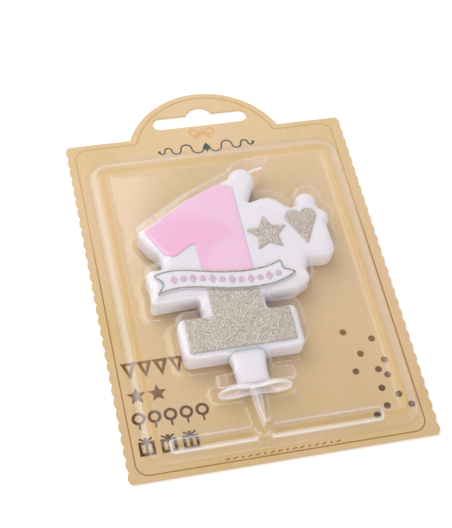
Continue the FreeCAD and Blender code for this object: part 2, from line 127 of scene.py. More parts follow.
# %% Lines made smooth, their directions and what lies inside
def evened(line, spacing, soften=0.0):
    """Closed line with evenly spaced points. Its corners are softened over a length by
    damping the line's Fourier series, so that short wavelengths fade first."""
    closed = np.vstack([line, line[:1]])
    along = np.r_[0, np.cumsum(np.linalg.norm(np.diff(closed, axis=0), axis=1))]
    count = max(12, int(round(along[-1] / spacing)))
    stops = np.linspace(0, along[-1], count, endpoint=False)
    x, y = (np.interp(stops, along, closed[:, k]) for k in (0, 1))
    if soften:
        waves = np.fft.fftfreq(count, d=along[-1] / count)
        spectrum = np.fft.fft(x + 1j * y) * np.exp(-2 * (np.pi * waves * soften) ** 2)
        smooth = np.fft.ifft(spectrum)
        x, y = smooth.real, smooth.imag
    return np.stack([x, y], axis=1)


def outward(line):
    """Unit directions pointing out of a counter-clockwise closed line."""
    ahead = np.roll(line, -1, axis=0) - np.roll(line, 1, axis=0)
    ahead /= np.linalg.norm(ahead, axis=1)[:, None]
    return np.stack([ahead[:, 1], -ahead[:, 0]], axis=1)


def inside(points, loops):
    """Which points lie inside the loops, holes left out: an odd number of crossings."""
    odd = np.zeros(len(points), dtype=bool)
    for line in loops:
        ax, ay = line.T
        bx, by = np.roll(line, -1, axis=0).T
        px, py = points[:, :1], points[:, 1:]
        spans = (ay > py) != (by > py)
        rise = np.where(by == ay, 1e-12, by - ay)
        crossings = spans & (px < ax + (py - ay) * (bx - ax) / rise)
        odd ^= crossings.sum(axis=1) % 2 == 1
    return odd


WAX_SOFTEN = 0.35 * MM
wax_outline = evened(wax_loops[0], 0.35 * MM, soften=WAX_SOFTEN)
print(len(wax_outline), "points round the wax")

# %% [markdown]
# ## Patches: swept rims and filled faces
# A piece cast in a mould has a flat front, a rounded rim and a side wall. The rim and wall
# are a profile carried along the outline, which is a surface of two parameters. The flat
# front is filled with a triangulation through scattered points, so that it can carry relief.
# Both come out as arrays of points and faces, and are welded where they meet.
#
# A rim wider than the line's own radius would fold over itself at a tight corner, so there
# it takes only a share of its width.

# %% Swept rims
def turning(line):
    """How tightly a closed line turns outwards, per metre: the change of its outward
    direction from the point before to the point after, over twice the step."""
    out = outward(line)
    change = np.roll(out, -1, axis=0) - np.roll(out, 1, axis=0)
    ahead = np.stack([-out[:, 1], out[:, 0]], axis=1)
    step = np.linalg.norm(np.roll(line, -1, axis=0) - line, axis=1).mean()
    return (change * ahead).sum(axis=1) / (2 * step)


RADIUS_SHARE = 0.83


def unfolded(line, rim, reach=4):
    """Share of a rim's width that each point can take before the rim folds over itself: most
    of the line's own radius there, over the width. It is spread to the near points."""
    share = np.clip(RADIUS_SHARE / (rim * np.maximum(turning(line), 1e-6)), 0, 1)
    near = range(-reach, reach + 1)
    share = np.min([np.roll(share, k) for k in near], axis=0)
    return np.mean([np.roll(share, k) for k in near], axis=0)


def swept(line, profile, share=1.0):
    """Rings of a profile (out, level) carried round a closed line: point = line + out times
    the share taken there times the outward direction, at the profile's level."""
    out = profile[:, 0, None, None] * (np.ones(len(line)) * share)[None, :, None]
    rings = line[None] + out * outward(line)[None]
    levels = np.broadcast_to(profile[:, 1, None, None], rings.shape[:2] + (1,))
    return np.concatenate([rings, levels], axis=2)


def grid_faces(rows, columns):
    """Quads of a grid of rings. Rings that go down a wall give faces that point outwards."""
    r, c = np.meshgrid(np.arange(rows - 1), np.arange(columns), indexing="ij")
    n = (c + 1) % columns
    quads = np.stack([r * columns + c, (r + 1) * columns + c,
                      (r + 1) * columns + n, r * columns + n], axis=-1)
    return quads.reshape(-1, 4)


def quarter_round(radius, top, steps=6):
    """Profile of a rounded rim, from the flat at its top out and down to the wall."""
    turn = np.linspace(0, np.pi / 2, steps)
    return np.stack([radius * (np.sin(turn) - 1), top - radius * (1 - np.cos(turn))], axis=1)


WAX_RIM = 2.8 * MM
wax_shares = unfolded(wax_outline, WAX_RIM)
print("the wax's rim keeps at least", round(wax_shares.min(), 2), "of its width")


# %% Filled faces
BATCH = 4000


def clear_of(points, others, gap):
    """Which points are further than a gap from all the others, measured a batch at a time."""
    keep = np.ones(len(points), dtype=bool)
    for start in range(0, len(points), BATCH):
        part = points[start:start + BATCH]
        apart = ((part[:, None] - others[None]) ** 2).sum(axis=2).min(axis=1)
        keep[start:start + BATCH] = apart > gap ** 2
    return keep


def filled(loops, spacing, seed, extra=None, scatter=0.3):
    """Points and triangles that fill closed loops. Inner points stand on a staggered grid,
    each moved a little at random, and keep half a step away from the loops."""
    rng = np.random.default_rng(seed)
    every = np.concatenate(loops)
    low, high = every.min(axis=0), every.max(axis=0)
    rows = np.arange(low[1], high[1], spacing * 0.87)
    columns = np.arange(low[0], high[0], spacing)
    x, y = np.meshgrid(columns, rows)
    x = x + spacing / 2 * (np.arange(len(rows)) % 2)[:, None]
    grid = np.stack([x.ravel(), y.ravel()], axis=1)
    grid = grid + rng.uniform(-scatter, scatter, grid.shape) * spacing
    if extra is not None:
        grid = np.concatenate([grid, extra])
    grid = grid[inside(grid, loops)]
    grid = grid[clear_of(grid, every, spacing * 0.55)]
    starts = np.cumsum([0] + [len(line) for line in loops[:-1]])
    edges = [(int(s + i), int(s + (i + 1) % len(line)))
             for s, line in zip(starts, loops) for i in range(len(line))]
    points = np.concatenate([every, grid])
    out = delaunay_2d_cdt([tuple(p) for p in points.tolist()], edges, [], 0, 1e-9)
    points = np.array([tuple(p) for p in out[0]])
    triangles = np.array([f for f in out[2] if len(f) == 3])
    triangles = triangles[inside(points[triangles].mean(axis=1), loops)]
    return points, triangles


def raised(points, level):
    """Flat points (x, y) lifted to a level, or to one level each."""
    z = np.broadcast_to(level, len(points))
    return np.column_stack([points, z])


# %% One mesh from patches
def add_piece(name, patches, material, body, smooth=True, weld=2e-7, marks=None):
    """One mesh from patches (points, faces), welded where they meet, riding on a body. Marks
    are named values, one for each point, kept on the mesh for its finish to read."""
    points = np.concatenate([np.asarray(p).reshape(-1, 3) for p, _ in patches])
    faces, offset = [], 0
    for p, f in patches:
        faces += (np.asarray(f) + offset).tolist()
        offset += np.asarray(p).reshape(-1, 3).shape[0]
    _, first, index = np.unique(np.round(points / weld), axis=0,
                                return_index=True, return_inverse=True)
    index = index.ravel()
    kept = []
    for face in faces:
        corners = list(dict.fromkeys(index[face].tolist()))
        if len(corners) > 2:
            kept.append(corners)
    mesh = bpy.data.meshes.new(name)
    mesh.from_pydata(points[first].tolist(), [], kept)
    mesh.polygons.foreach_set("use_smooth", np.full(len(kept), smooth))
    mesh.materials.append(material)
    for mark, values in (marks or {}).items():
        attribute = mesh.attributes.new(mark, "FLOAT", "POINT")
        attribute.data.foreach_set("value", np.concatenate(values)[first].astype(np.float32))
    mesh.update()
    piece = bpy.data.objects.new(name, mesh)
    bpy.context.collection.objects.link(piece)
    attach(piece, body)
    print(name, len(mesh.vertices), "points", len(kept), "faces")
    return piece


# %% [markdown]
# ## Finishes
# A finish is a small tree of nodes that starts from the piece's own coordinates. The helpers
# below add the nodes that the finishes share: a noise, a circle, a height up the card, a ramp
# of colours, a mix and a bump.

# %% Helpers for finishes
class Finish:
    """A material and the nodes that its pattern is built from."""

    def __init__(self, name):
        self.material = bpy.data.materials.new(name)
        self.material.use_nodes = True
        self.tree = self.material.node_tree
        self.shader = self.tree.nodes["Principled BSDF"]
        self.output = self.tree.nodes["Material Output"]
        self.place = self.add("ShaderNodeTexCoord").outputs["Object"]

    def add(self, kind, inputs=None, **settings):
        """A node with its settings and inputs: an input is a value or another's output."""
        node = self.tree.nodes.new(kind)
        for key, value in settings.items():
            setattr(node, key, value)
        for key, value in (inputs or {}).items():
            if isinstance(value, bpy.types.NodeSocket):
                self.tree.links.new(value, node.inputs[key])
            else:
                node.inputs[key].default_value = value
        return node

    def link(self, output, socket):
        """Drives one of the shader's sockets."""
        self.tree.links.new(output, self.shader.inputs[socket])

    def set(self, **values):
        """Even values set on the shader's own sockets, spaces written as underscores."""
        for key, value in values.items():
            self.shader.inputs[key.replace("_", " ")].default_value = value

    def stretched(self, stretch):
        """The piece's coordinates, scaled by three factors."""
        return self.add("ShaderNodeMapping", {"Vector": self.place, "Scale": stretch}).outputs[0]

    def noise(self, scale, detail=2.0, rough=0.5, stretch=None):
        """Cloudy noise. The scale counts its features in a metre."""
        place = self.stretched(stretch) if stretch else self.place
        return self.add("ShaderNodeTexNoise", {"Vector": place, "Scale": scale,
                                               "Detail": detail, "Roughness": rough}).outputs[0]

    def within(self, middle, radius, blur):
        """1 inside a circle (x, y) and 0 outside, fading over a blur."""
        flat = self.stretched((1.0, 1.0, 0.0))
        away = self.add("ShaderNodeVectorMath", {0: flat, 1: (*middle, 0.0)},
                        operation="DISTANCE").outputs["Value"]
        return self.add("ShaderNodeMapRange", {0: away, 1: radius, 2: radius - blur}).outputs[0]

    def up_the_card(self, low, high):
        """0 to 1 between two heights up the card, in metres."""
        height = self.add("ShaderNodeSeparateXYZ", {"Vector": self.place}).outputs["Y"]
        return self.add("ShaderNodeMapRange", {0: height, 1: low, 2: high}).outputs[0]

    def ramp(self, factor, stops, interpolation="LINEAR"):
        """Colours at places from 0 to 1 along a factor."""
        node = self.add("ShaderNodeValToRGB", {"Fac": factor})
        node.color_ramp.interpolation = interpolation
        elements = node.color_ramp.elements
        while len(elements) < len(stops):
            elements.new(0.5)
        for element, (position, colour) in zip(elements, stops):
            element.position = position
            element.color = (*colour, 1.0)
        return node.outputs[0]

    def mix(self, factor, first, second, blend="MIX"):
        """Two colours mixed by a factor."""
        node = self.add("ShaderNodeMix", data_type="RGBA", blend_type=blend)
        for slot, value in ((0, factor), (6, first), (7, second)):
            if isinstance(value, bpy.types.NodeSocket):
                self.tree.links.new(value, node.inputs[slot])
            else:
                node.inputs[slot].default_value = value if slot == 0 else (*value, 1.0)
        return node.outputs[2]

    def bump(self, height, depth):
        """Bump from a height of 0 to 1 that stands for a depth in metres."""
        node = self.add("ShaderNodeBump", {"Height": height, "Distance": depth,
                                           "Strength": 1.0})
        self.link(node.outputs[0], "Normal")


def linear(red, green, blue):
    """A display colour, 0 to 255, as the linear values that shaders use."""
    share = np.array([red, green, blue]) / 255
    return tuple(np.where(share <= 0.04045, share / 12.92, ((share + 0.055) / 1.055) ** 2.4))


def paint(nodes, finish):
    """Gives CAD nodes a finish in place of their plain one."""
    for node in nodes:
        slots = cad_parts[node].data.materials
        slots.clear()
        slots.append(finish)


# %% [markdown]
# ## The card
# The card is kraft board, about three quarters of a millimetre thick and cut with a
# scalloped die. Its pulp shows as a faint cloudiness and as fine fibres that lie mostly along
# the board. A painted shade darkens it a little towards the bottom, where the light falls
# off. The CAD node has the true outline, so it stays and only gets this finish.

# %% Kraft board
def kraft_board():
    """Kraft pulp: slow clouds of three tones, times fine fibres six times longer than wide,
    times a painted shade that darkens it down the card, where the light falls off."""
    f = Finish("kraft_board")
    clouds = f.noise(30.0, 3.0, 0.55)
    fibres = f.noise(900.0, 4.0, 0.6, stretch=(1.0, 0.16, 1.0))
    base = f.ramp(clouds, [(0.32, linear(204, 177, 131)), (0.5, linear(209, 182, 143)),
                           (0.68, linear(211, 181, 148))])
    tone = f.ramp(fibres, [(0.35, (0.93, 0.92, 0.90)), (0.62, (1.0, 1.0, 1.0))])
    # Painted shade: the board darkens towards the bottom of the card, where the light falls off.
    painted_falloff = f.ramp(f.up_the_card(-0.067, 0.05), [(0.0, (0.88, 0.84, 0.74)), (1.0, (1, 1, 1))])
    board = f.mix(0.5, base, tone, "MULTIPLY")
    f.link(f.mix(1.0, board, painted_falloff, "MULTIPLY"), "Base Color")
    f.set(Roughness=0.7, Specular_IOR_Level=0.3)
    f.bump(fibres, 0.00004)
    return f.material


paint(["backing_card"], kraft_board())
print("card finished")

# %% [markdown]
# ## Print on the card
# Four inks are printed on the board: brown for the border line and the dashes at the foot, a
# dark bronze foil for the motifs and dots, peach for the bow and green-grey for the scroll.
# The foil is barely metallic. Every ink wears through to the board in tiny specks. The CAD
# nodes hold the true outlines of the print, so they stay too.

# %% Inks
def printed(name, dark, light, painted_light_span=None, metal=0.0, rough=0.5):
    """Ink that goes from one tone to another, with fine gaps of wear: in slow clouds, or over a
    span up the card in metres, where the change is painted light, darker at the bottom."""
    f = Finish(name)
    bare_board = linear(196, 160, 110)
    specks = f.noise(2600.0, 2.0)
    factor = f.up_the_card(*painted_light_span) if painted_light_span else f.noise(60.0, 2.0)
    tone = f.ramp(factor, [(0.35, dark), (0.65, light)])
    worn = f.ramp(specks, [(0.66, (0, 0, 0)), (0.72, (1, 1, 1))])
    f.link(f.mix(worn, tone, bare_board), "Base Color")
    f.set(Metallic=metal, Roughness=rough, Specular_IOR_Level=0.2)
    f.bump(specks, 0.00001)
    return f.material


# Bronze foil and brown ink carry painted light: darker at the bottom of the card, lighter towards
# the top.
bronze = printed("bronze_foil", linear(76, 42, 4), linear(118, 76, 22),
                 painted_light_span=(-0.068, -0.022), metal=0.03, rough=0.45)
brown = printed("brown_ink", linear(146, 108, 64), linear(190, 153, 106), painted_light_span=(-0.03, 0.045))
peach = printed("peach_ink", linear(202, 157, 106), linear(210, 168, 120))
grey_green = printed("green_grey_ink", linear(58, 70, 72), linear(84, 94, 92))
paint(["card_motif_block", "card_foil_dots"], bronze)
paint(["card_border_line", "card_foot_flourish"], brown)
paint(["card_bow_ornament"], peach)
paint(["card_title_flourish"], grey_green)
print("print finished")

# %% [markdown]
# ## The wax casting
# White paraffin wax is cast in a soft mould, so every edge is rounded. Light goes a little
# way into wax and comes out again, which softens its shading. The rims and wall are swept
# round the CAD outline, and the front and back are filled.

# %% White wax
def wax(name, light, dark, gloss=0.48):
    """Satin wax: light scatters under the surface, and the skin is faintly uneven."""
    f = Finish(name)
    slow = f.noise(70.0, 3.0)
    fine = f.noise(1500.0, 3.0)
    f.link(f.ramp(slow, [(0.3, dark), (0.7, light)]), "Base Color")
    f.link(f.ramp(fine, [(0.3, (gloss - 0.06,) * 3), (0.7, (gloss + 0.06,) * 3)]), "Roughness")
    f.set(Subsurface_Weight=0.5, Subsurface_Scale=0.003, Subsurface_Radius=(1.0, 0.7, 0.6),
          Specular_IOR_Level=0.3)
    f.bump(f.mix(0.6, slow, fine), 0.00006)
    return f.material


white_wax = wax("white_wax", linear(221, 217, 223), linear(217, 212, 218))
print("white wax finished")


# %% Casting without its neck
WAX_BACK_RIM = 1.4 * MM


def cast_block(outline, shares, back, front, rim, back_rim, seed, spacing=0.9 * MM):
    """Patches of a closed casting: filled front and back, rounded rims and a side wall."""
    top = quarter_round(rim, front, 7)
    bottom = quarter_round(back_rim, 0.0, 5)[::-1] * (1, -1) + (0, back)
    rings = swept(outline, np.concatenate([top, bottom]), shares)
    face, triangles = filled([rings[0, :, :2]], spacing, seed)
    rear, rear_triangles = filled([rings[-1, :, :2]], 2 * spacing, seed)
    return [(rings, grid_faces(len(rings), len(outline))),
            (raised(face, front), triangles),
            (raised(rear, back), rear_triangles[:, ::-1])]


candle_low, candle_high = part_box("candle_body")
patches = cast_block(wax_outline, wax_shares, candle_low[2], wax_front,
                     WAX_RIM, WAX_BACK_RIM, 1)
print("casting", round((wax_front - candle_low[2]) / MM, 2), "mm thick")

# %% [markdown]
# The neck under the foot is a thinner tongue of the same wax. It is a bar with a
# round-cornered section, carried up from the pick's collar and flared into the foot.

# %% Neck of the casting
NECK_HALF = 4.8 * MM
NECK_HALF_THICK = 2.8 * MM
NECK_CORNER = 2.4 * MM
NECK_FLARE = 0.36
NECK_INTO_FOOT = 2.0 * MM
NECK_INTO_PICK = 1.2 * MM
PINCH = 0.02


def rounded_bar(low, high, corner, flare, steps=32):
    """Tube along Y with a round-cornered section and a pinhole left at each end: the unit
    direction (cos, sin) is pushed out to the box's half sizes and pulled back by the corner
    radius. Its upper end flares by the cube of the way up, half as much in Z as sideways."""
    low, high = np.array(low), np.array(high)
    middle, half = (low + high) / 2, (high - low) / 2
    turn = np.linspace(0, 2 * np.pi, steps, endpoint=False) + np.pi / steps
    c, s = np.cos(turn), np.sin(turn)
    x = middle[0] + np.sign(c) * (half[0] - corner) + corner * c
    z = middle[2] + np.sign(s) * (half[2] - corner) + corner * s
    up = np.linspace(0, 1, 12)[[0, *range(12), -1]]
    ys = low[1] + (high[1] - low[1]) * up
    spread = 1 + flare * up ** 3
    shrink = np.array([PINCH, *np.ones(12), PINCH])
    rings = np.stack([np.stack([middle[0] + (x - middle[0]) * k * w, np.full(steps, y),
                                middle[2] + (z - middle[2]) * k * (1 + w) / 2], axis=1)
                      for y, k, w in zip(ys, shrink, spread)])
    return rings, grid_faces(len(rings), steps)


pick_low, pick_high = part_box("candle_pick")
neck_middle = (pick_low[0] + pick_high[0]) / 2
wax_middle = (candle_low[2] + candle_high[2]) / 2
neck = rounded_bar((neck_middle - NECK_HALF, candle_low[1] - NECK_INTO_PICK,
                    wax_middle - NECK_HALF_THICK),
                   (neck_middle + NECK_HALF, wax_outline[:, 1].min() + NECK_INTO_FOOT,
                    wax_middle + NECK_HALF_THICK), NECK_CORNER, NECK_FLARE)
casting = add_piece("wax_casting", patches + [neck], white_wax, "candle")
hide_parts("candle_body")

# %% [markdown]
# ## The pink figure
# The figure one is a thin layer of pink wax on the casting, with its own soft rim. Its colour
# isn't even: a crescent of a deeper tone lies across it.

# %% Pink face
CRESCENT_BLUR = 3.0 * MM


def pink_wax():
    """Pink wax with a crescent of a deeper tone: a large circle less a small one."""
    f = Finish("pink_wax")
    large = f.within((-0.0165, -0.007), 0.022, CRESCENT_BLUR)
    small = f.within((0.002, -0.009), 0.016, CRESCENT_BLUR)
    share = f.add("ShaderNodeMath", {0: large, 1: small}, operation="SUBTRACT",
                  use_clamp=True).outputs[0]
    fine = f.noise(1500.0, 3.0)
    tone = f.mix(share, linear(226, 183, 209), linear(225, 171, 202))
    f.link(tone, "Base Color")
    f.set(Roughness=0.5, Subsurface_Weight=0.2, Subsurface_Scale=0.001,
          Subsurface_Radius=(1.0, 0.6, 0.8), Specular_IOR_Level=0.3)
    f.bump(fine, 0.00003)
    return f.material


# %% Layers on the casting
SUNK = 0.5 * MM


def layer(name, node, finish, rim, seed, soften):
    """A thin piece on the casting, rebuilt from its CAD node's outline with a soft rim. Its
    foot is sunk into the wax, whose own rim falls away under it."""
    outlines, level = front_outlines(node)
    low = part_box(node)[0][2]
    outline = evened(outlines[0], 0.3 * MM, soften=soften)
    profile = np.concatenate([quarter_round(rim, level, 4), [[0.0, low - SUNK]]])
    rings = swept(outline, profile)
    face, triangles = filled([rings[0, :, :2]], 1.0 * MM, seed)
    piece = add_piece(name, [(rings, grid_faces(len(rings), len(outline))),
                             (raised(face, level), triangles)], finish, "candle")
    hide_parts(node)
    return piece


pink = layer("pink_figure", "numeral_face", pink_wax(), 0.4 * MM, 2, soften=0.45 * MM)

# %% [markdown]
# ## Glitter
# Glitter is thousands of tiny bright flakes in clear lacquer, and no two lie alike. The
# surface is filled with points less than a third of a millimetre apart, each at its own
# random height, and the faces stay flat, so that every facet catches the light differently.
# The finish gives each cell of a finer pattern a tone and a tilt of its own.

# %% Glitter finish
def glitter(name, tones):
    """Flakes: one tone and one tilt for each cell of a random cell pattern."""
    f = Finish(name)
    cells = f.add("ShaderNodeTexVoronoi", {"Vector": f.place, "Scale": 5000.0})
    value = f.add("ShaderNodeSeparateColor", {"Color": cells.outputs["Color"]})
    f.link(f.ramp(value.outputs[0], tones, "CONSTANT"), "Base Color")
    f.set(Metallic=0.55, Roughness=0.34, Coat_Weight=0.2, Coat_Roughness=0.2)
    f.bump(value.outputs[1], 0.00012)
    return f.material


champagne = glitter("champagne_glitter", [
    (0.0, linear(159, 145, 131)), (0.2, linear(186, 173, 160)), (0.45, linear(201, 190, 178)),
    (0.7, linear(176, 159, 140)), (0.82, linear(212, 203, 196)), (0.96, linear(240, 236, 233))])
grey_gold = glitter("grey_glitter", [
    (0.0, linear(118, 114, 100)), (0.35, linear(150, 146, 128)), (0.6, linear(172, 166, 150)),
    (0.85, linear(200, 196, 182))])
print("glitter finished")

# %% Glitter pieces
FLAKE = 0.28 * MM
FLAKE_RELIEF = 0.1 * MM
RAGGED_EDGE = 0.03 * MM


def glitter_piece(name, node, seed):
    """A glitter coat from its CAD node's outline: facets at random heights under its level,
    a slightly ragged edge, and a foot sunk into the wax."""
    rng = np.random.default_rng(seed)
    outlines, level = front_outlines(node)
    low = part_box(node)[0][2]
    outline = evened(outlines[0], 0.3 * MM, soften=0.1 * MM)
    outline = outline + rng.normal(0, RAGGED_EDGE, outline.shape)
    rim = np.column_stack([outline, np.full(len(outline), level - FLAKE_RELIEF)])
    foot = np.column_stack([outline, np.full(len(outline), low - SUNK)])
    face, triangles = filled([outline], FLAKE, seed, scatter=0.42)
    height = level - rng.uniform(0, FLAKE_RELIEF, len(face))
    on_rim = ~clear_of(face, outline, 1e-6)
    height[on_rim] = level - FLAKE_RELIEF
    piece = add_piece(name, [(np.stack([rim, foot]), grid_faces(2, len(outline))),
                             (raised(face, height), triangles)],
                      champagne, "candle", smooth=False)
    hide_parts(node)


glitter_piece("glitter_stem_and_foot", "glitter_foot", 11)
glitter_piece("glitter_star", "suffix_star", 12)
glitter_piece("glitter_heart", "suffix_heart", 13)

# %% [markdown]
# ## The ribbon banner
# The ribbon is a slightly raised strip of white wax with forked tails, a fine glitter cord
# along its edge and a row of small pink marks. The cord's line is softened as much as the
# ribbon's own, so that it keeps to the edge.

# %% Ribbon
RIBBON_SOFTEN = 0.6 * MM
ribbon = layer("ribbon_banner", "banner_ribbon", white_wax, 0.25 * MM, 3, RIBBON_SOFTEN)


# %% Glitter cord and marks
def cord(name, node, along, finish, width, sunk):
    """Half-round cord laid inside the edge of a closed line: its profile (out, level) turns
    through half a circle, squashed to the CAD cord's height."""
    (_, _, low), (_, _, high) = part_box(node)
    turn = np.linspace(0, np.pi, 9)
    out = width / 2 * (np.cos(turn[::-1]) - 1)
    level = low + (high - low) * np.sin(turn)
    profile = np.stack([out, level], axis=1)
    profile = np.concatenate([[[-width, low - sunk]], profile, [[0.0, low - sunk]]])
    rings = swept(along, np.concatenate([profile, profile[:1]]))
    piece = add_piece(name, [(rings, grid_faces(len(rings), len(along)))], finish, "candle")
    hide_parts(node)
    return piece


ribbon_line = evened(front_outlines("banner_ribbon")[0][0], 0.2 * MM, soften=RIBBON_SOFTEN)
ribbon_cord = cord("ribbon_cord", "banner_outline", ribbon_line, grey_gold, 0.45 * MM, 0.1 * MM)
paint(["banner_marks"], wax("pink_print", linear(240, 190, 213), linear(236, 178, 205), 0.5))
print("cord", round(line_length(ribbon_line) / MM, 1), "mm round the ribbon")

# %% [markdown]
# ## Clear plastics
# The film and the pick are clear. A thin clear sheet lets light straight through and mirrors
# a little of the room, more so at a glancing angle, which a Fresnel mix of a transparent and
# a glossy shader gives without any bending of light.

# %% Clear finishes
MOST_MIRRORED = 0.3
BAND_DULLING = 0.6


def clear_sheet(name, tint, band_painted_tint, haze, bend_haze_and_glint, rough, head_on):
    """Transparent and glossy. The mirrored share follows Schlick's rule: head_on plus the
    rest times (1 - cosine) to the fifth power. Facing gives 1 - cosine from either side. The
    rest is held under a third, since thin plastic lets a slanting view through its two
    sides. The haze grows with the bend and glint mark kept on the mesh: partly clouding where
    the plastic is stretched, partly painted glints, white haze where edges catch the light.
    Over the mesh's band the tint changes to a painted yellow, standing in for the board's
    sheen that the ridge hides, and the mirror dulls."""
    f = Finish(name)
    bend_and_glint = f.add("ShaderNodeAttribute", attribute_name="bend_and_glint").outputs["Fac"]
    # Haze from the bend and glint mark: clouding of stretched plastic, and painted glints as
    # white haze.
    haze_and_glint = f.add("ShaderNodeMath", {0: bend_and_glint, 1: bend_haze_and_glint, 2: haze},
                   operation="MULTIPLY_ADD").outputs[0]
    facing = f.add("ShaderNodeLayerWeight", {"Blend": 0.5}).outputs["Facing"]
    fifth = f.add("ShaderNodeMath", {0: facing, 1: 5.0}, operation="POWER").outputs[0]
    share = f.add("ShaderNodeMath", {0: fifth, 1: MOST_MIRRORED, 2: head_on},
                  operation="MULTIPLY_ADD").outputs[0]
    band = f.add("ShaderNodeAttribute", attribute_name="band").outputs["Fac"]
    dull = f.add("ShaderNodeMath", {0: band, 1: -BAND_DULLING, 2: 1.0},
                 operation="MULTIPLY_ADD").outputs[0]
    share = f.add("ShaderNodeMath", {0: share, 1: dull}, operation="MULTIPLY").outputs[0]
    # Painted yellow tint over the ridge's band, standing in for the board's sheen that the ridge
    # hides.
    tone = f.mix(band, tint, band_painted_tint)
    through = f.add("ShaderNodeBsdfTransparent", {"Color": tone}).outputs[0]
    milk = f.add("ShaderNodeBsdfDiffuse", {"Color": (0.95, 0.94, 0.96, 1.0)}).outputs[0]
    mirror = f.add("ShaderNodeBsdfGlossy", {"Color": (1, 1, 1, 1), "Roughness": rough}).outputs[0]
    body = f.add("ShaderNodeMixShader", {0: haze_and_glint, 1: through, 2: milk}).outputs[0]
    whole = f.add("ShaderNodeMixShader", {0: share, 1: body, 2: mirror}).outputs[0]
    f.tree.links.new(whole, f.output.inputs["Surface"])
    f.tree.nodes.remove(f.shader)
    return f.material


# The film's second tint is the painted yellow over the ridge's band.
film_clear = clear_sheet("clear_blister_film", (1.0, 1.0, 1.0), (1.0, 0.985, 0.93),
                         haze=0.012, bend_haze_and_glint=0.2, rough=0.1, head_on=0.025)
pick_clear = clear_sheet("clear_pick_plastic", (0.98, 0.97, 0.98), (0.98, 0.97, 0.98),
                         haze=0.11, bend_haze_and_glint=0.4, rough=0.12, head_on=0.04)
print("clear plastics finished")

# %% [markdown]
# ## The blister film
# The film starts as a flat sheet. Heat and vacuum pull it over a mould: a low ridge runs up
# both sides and over the top, a rib crosses the bottom, and a deep pocket follows the candle.
# The low forms are a height over the sheet, worked out from the distance to their outlines.
# The pocket's wall is too steep for that, so it is a profile swept round the pocket's
# outline, and its foot takes its height from the sheet.

# %% Sizes of the film
sheet_low, sheet_high = (np.array(v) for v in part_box("blister_sheet"))
roof_loops, roof_level = front_outlines("blister_pocket_roof")
FILM = 0.35 * MM
FLAT = sheet_low[2] + FILM
FLANGE = 1.7 * MM
RIDGE_WIDTH = 4.6 * MM
RIDGE_HEIGHT = 0.75 * (sheet_high[2] - FLAT)
RIDGE_CORNER = 5.0 * MM
SLOPE = 1.4 * MM
RIDGE_FOOT = -61.6 * MM
RIB_HEIGHT = 1.5 * MM
RIB_HALF = np.array([31.85, 2.2]) * MM
RIB_MIDDLE = np.array([-1.15, -58.4]) * MM
RIB_CORNER = 1.2 * MM
print("film flat at", round(FLAT / MM, 2), "mm, roof at", round(roof_level / MM, 2), "mm")


# %% Distances on the sheet
def box_distance(points, low, high, corner):
    """Distance outside a round-cornered box, negative inside: the length of what sticks out
    of the box shrunk by its corner radius, less that radius."""
    middle, half = (low + high) / 2, (high - low) / 2
    over = np.abs(points - middle) - (half - corner)
    outer = np.linalg.norm(np.maximum(over, 0), axis=-1)
    return outer + np.minimum(over.max(axis=-1), 0) - corner


def eased(distance, width):
    """Smooth step from 1 well inside to 0 outside, over a width."""
    share = np.clip(0.5 - distance / width, 0, 1)
    return share * share * (3 - 2 * share)


def low_forms(points):
    """Distances to the flange's edge and to the rib's outline at points (x, y)."""
    edge = box_distance(points, sheet_low[:2], sheet_high[:2], RIDGE_CORNER + FLANGE)
    rib = box_distance(points, RIB_MIDDLE - RIB_HALF, RIB_MIDDLE + RIB_HALF, RIB_CORNER)
    return edge, rib


def above_foot(points):
    """1 above the ridge's lower ends and 0 under them, where the ridge fades into the flat."""
    return 1 - eased(points[..., 1] - RIDGE_FOOT - SLOPE, 2 * SLOPE)


# %% Height, bend and glint, and band of the sheet
def sheet_height(points):
    """Level of the film's flat, ridge and rib at points (x, y)."""
    edge, along = low_forms(points)
    ridge = eased(edge + FLANGE + SLOPE, 2 * SLOPE)
    ridge = ridge * (1 - eased(edge + FLANGE + RIDGE_WIDTH - SLOPE, 2 * SLOPE))
    ridge = ridge * above_foot(points)
    rib = eased(along + 0.4 * MM, 0.8 * MM)
    return FLAT + np.maximum(RIDGE_HEIGHT * ridge, RIB_HEIGHT * rib)


def sheet_bend_and_glint(points):
    """How sharply the film is bent at points (x, y), which also places painted glints as white
    haze: one narrow bell along the rib's edge, and fainter ones along both edges of the ridge."""
    edge, along = low_forms(points)
    rib = np.exp(-((along + 0.15 * MM) / (0.32 * MM)) ** 2)
    outer = np.exp(-((edge + FLANGE + 0.4 * MM) / (0.6 * MM)) ** 2)
    inner = np.exp(-((edge + FLANGE + RIDGE_WIDTH - 0.4 * MM) / (0.5 * MM)) ** 2)
    return 2.4 * rib + (0.45 * outer + 0.4 * inner) * above_foot(points)


def sheet_band(points):
    """1 on top of the ridge, 0 elsewhere, at points (x, y)."""
    edge, _ = low_forms(points)
    top = eased(edge + FLANGE + SLOPE, SLOPE) * (1 - eased(edge + FLANGE + RIDGE_WIDTH, SLOPE))
    return top * above_foot(points)


# %% [markdown]
# The flat of the film is a triangulation too, so its slopes are only as crisp as its points
# are close. Guide lines put rows of points where the ridge and the rib rise and fall, and the
# rest of the sheet needs few.

# %% Guide lines
def box_line(low, high, corner, spacing):
    """Closed counter-clockwise line round a round-cornered box."""
    corner = max(corner, 1e-5)
    turn = np.linspace(0, np.pi / 2, 12)
    arc = np.stack([np.cos(turn), np.sin(turn)], axis=1) * corner
    centres = [(high[0] - corner, high[1] - corner), (low[0] + corner, high[1] - corner),
               (low[0] + corner, low[1] + corner), (high[0] - corner, low[1] + corner)]
    quarter = np.array([[0, 1], [-1, 0]])
    pieces = []
    for i, centre in enumerate(centres):
        pieces.append(arc @ np.linalg.matrix_power(quarter, i) + centre)
    return evened(np.concatenate(pieces), spacing)


